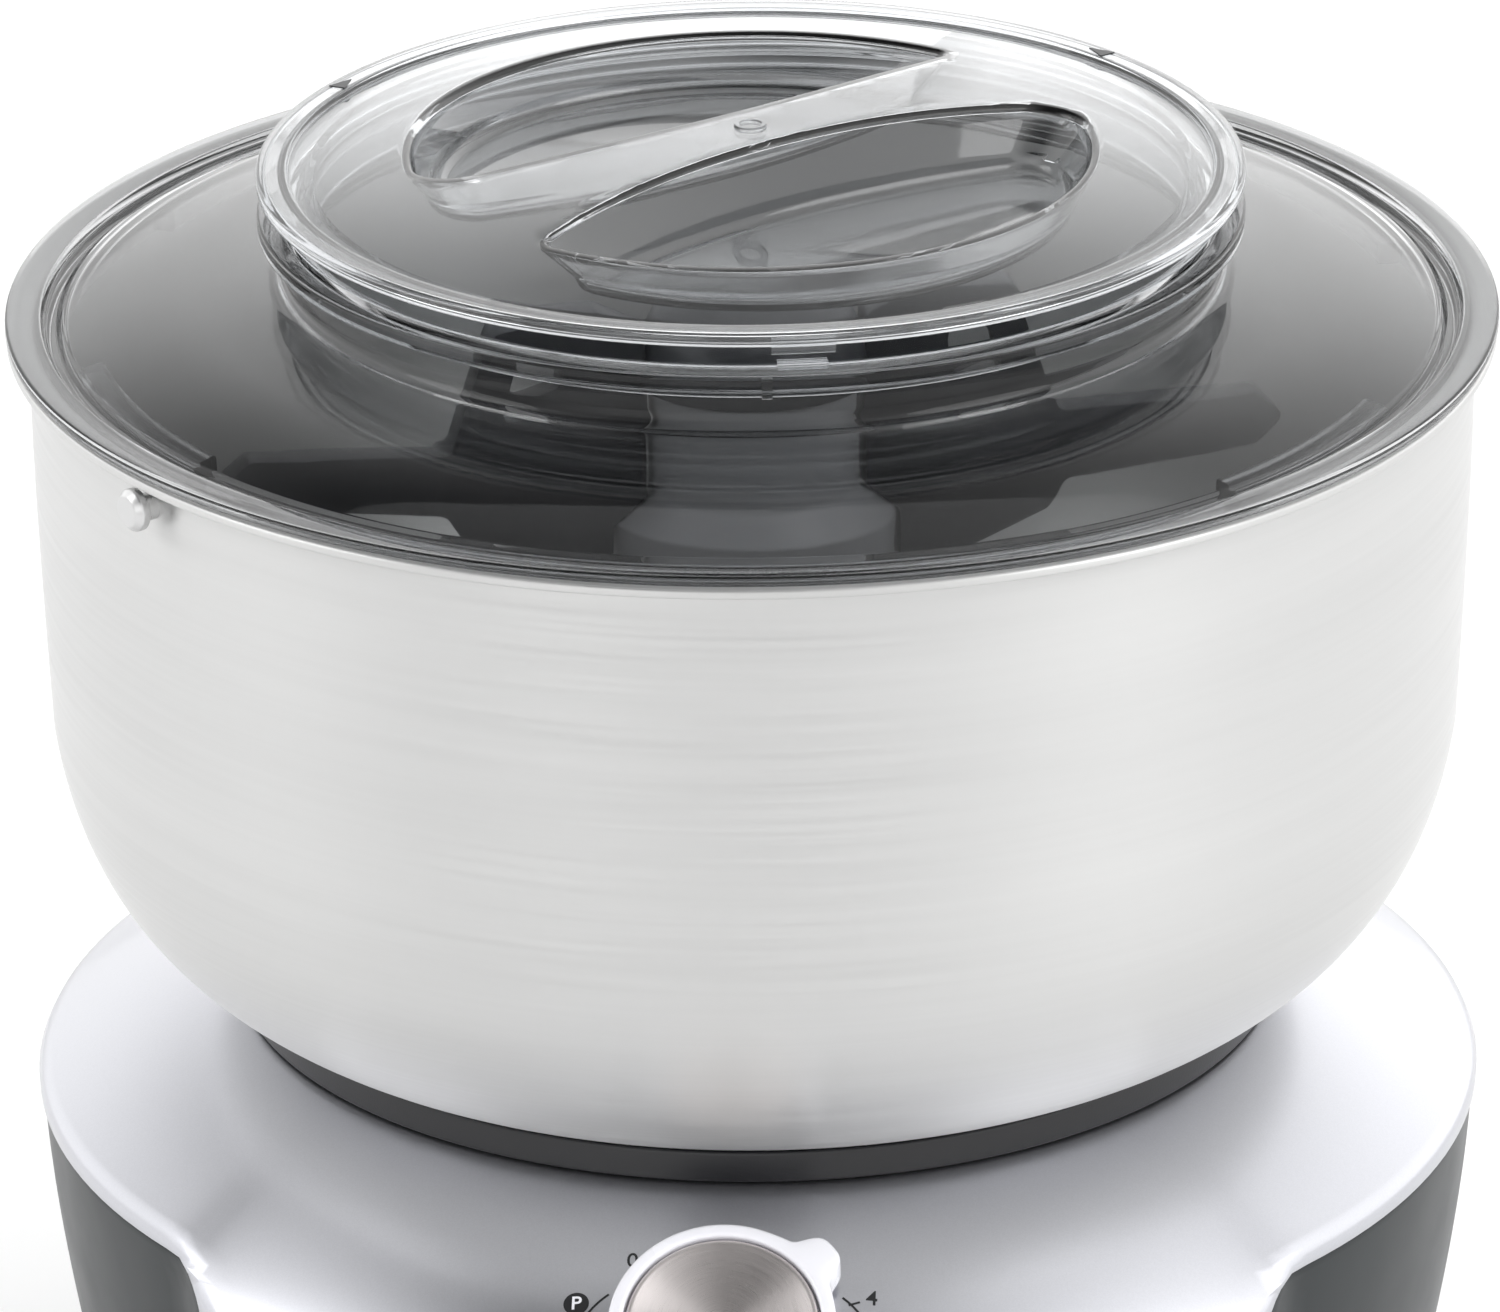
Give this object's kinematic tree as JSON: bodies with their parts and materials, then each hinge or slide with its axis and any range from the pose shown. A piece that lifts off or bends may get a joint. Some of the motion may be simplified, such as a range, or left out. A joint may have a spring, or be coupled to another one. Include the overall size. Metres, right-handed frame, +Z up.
{
  "type": "bottom-drive kitchen machine",
  "caption": "Round motor base with a speed dial, steel bowl on a foot ring, clear splash lid with a lift-out filler cap, and a mixing tool driven from below.",
  "frame": {"origin": "on the table, under the middle of the footprint; the drive axis stands 11 mm behind it", "axes": "+Z up along the drive axis, -Y towards the dial at the front, +X to the right seen from the front"},
  "size_m": [0.28, 0.302, 0.3172],
  "materials": {
    "silver_shell": "satin metallic silver",
    "slate_panel": "satin dark slate",
    "black_plastic": "satin black",
    "rubber": "matt black rubber",
    "zinc": "plain zinc-plated or cast metal",
    "steel": "machined steel",
    "bowl_steel": "satin brushed stainless steel",
    "copper": "copper windings",
    "board_green": "green circuit board",
    "dial_white": "silver-white moulded plastic",
    "spun_metal": "spun metal with radial sheen",
    "tool_grey": "dark grey moulded plastic",
    "tool_light": "light grey moulded plastic",
    "clear_lid": "clear plastic with a light grey tint",
    "clear_cap": "clear plastic"
  },
  "bodies": {
    "base": {"top_shell": "silver_shell", "side_shell": "slate_panel", "base_pan": "black_plastic", "cord_gland": "rubber", "chassis_plate": "zinc", "spindle_housing": "black_plastic", "spindle_bearing_lower": "steel", "spindle_bearing_upper": "steel", "shaft_seal": "rubber", "motor_frame": "zinc", "motor_stator": "steel", "motor_bearing_lower": "steel", "motor_end_plate": "zinc", "motor_bearing_upper": "steel", "brush_left": "copper", "brush_right": "copper", "drive_belt": "rubber", "speed_switch": "black_plastic", "switch_nut": "zinc", "control_board": "board_green", "board_capacitor": "slate_panel", "board_heatsink": "zinc", "standoff_1": "zinc", "standoff_2": "zinc", "standoff_3": "zinc", "standoff_4": "zinc", "pan_screw_1": "zinc", "pan_screw_2": "zinc", "pan_screw_3": "zinc", "pan_screw_4": "zinc", "chassis_screw_1": "zinc", "chassis_screw_2": "zinc", "chassis_screw_3": "zinc", "chassis_screw_4": "zinc", "foot_1": "rubber", "foot_2": "rubber", "foot_3": "rubber", "foot_4": "rubber"},
    "main_drive": {"drive_spindle": "steel", "drive_pulley": "black_plastic", "drive_coupling": "zinc"},
    "rotor": {"rotor_shaft": "steel", "armature": "copper", "commutator": "copper", "cooling_fan": "black_plastic", "motor_pulley": "zinc"},
    "dial": {"dial_ring": "dial_white", "dial_disc": "spun_metal", "dial_shaft": "steel"},
    "bowl": {"bowl_shell": "bowl_steel", "bowl_foot": "black_plastic", "bowl_post": "black_plastic", "lid_stud_left": "steel", "lid_stud_right": "steel"},
    "tool": {"mixing_tool": "tool_grey", "tool_sleeve": "tool_light", "tool_shaft": "steel"},
    "lid": {"splash_lid": "clear_lid"},
    "cap": {"filler_cap": "clear_cap"}
  },
  "joints": [
    {"name": "spindle_spin", "type": "hinge", "parent": "base", "child": "main_drive", "pos_m": [0, 0.011, 0.1], "axis": [0, 0, 1], "continuous": true},
    {"name": "rotor_spin", "type": "hinge", "parent": "base", "child": "rotor", "pos_m": [-0.062, 0.041, 0.05], "axis": [0, 0, 1], "continuous": true},
    {"name": "dial_turn", "type": "hinge", "parent": "base", "child": "dial", "pos_m": [0, -0.122, 0.1306], "axis": [0, -0.5736, 0.8192], "range_deg": [0, 240]},
    {"name": "bowl_lift", "type": "slide", "parent": "base", "child": "bowl", "axis": [0, 0, 1], "range_m": [0, 0.08]},
    {"name": "tool_spin", "type": "hinge", "parent": "bowl", "child": "tool", "pos_m": [0, 0.011, 0.2], "axis": [0, 0, 1], "continuous": true},
    {"name": "lid_lift", "type": "slide", "parent": "bowl", "child": "lid", "axis": [0, 0, 1], "range_m": [0, 0.1]},
    {"name": "cap_lift", "type": "slide", "parent": "lid", "child": "cap", "axis": [0, 0, 1], "range_m": [0, 0.06]}
  ],
  "couplings": [
    {"joint": "rotor_spin", "follows": "spindle_spin", "ratio": 4.5454},
    {"joint": "tool_spin", "follows": "spindle_spin", "ratio": 1}
  ]
}
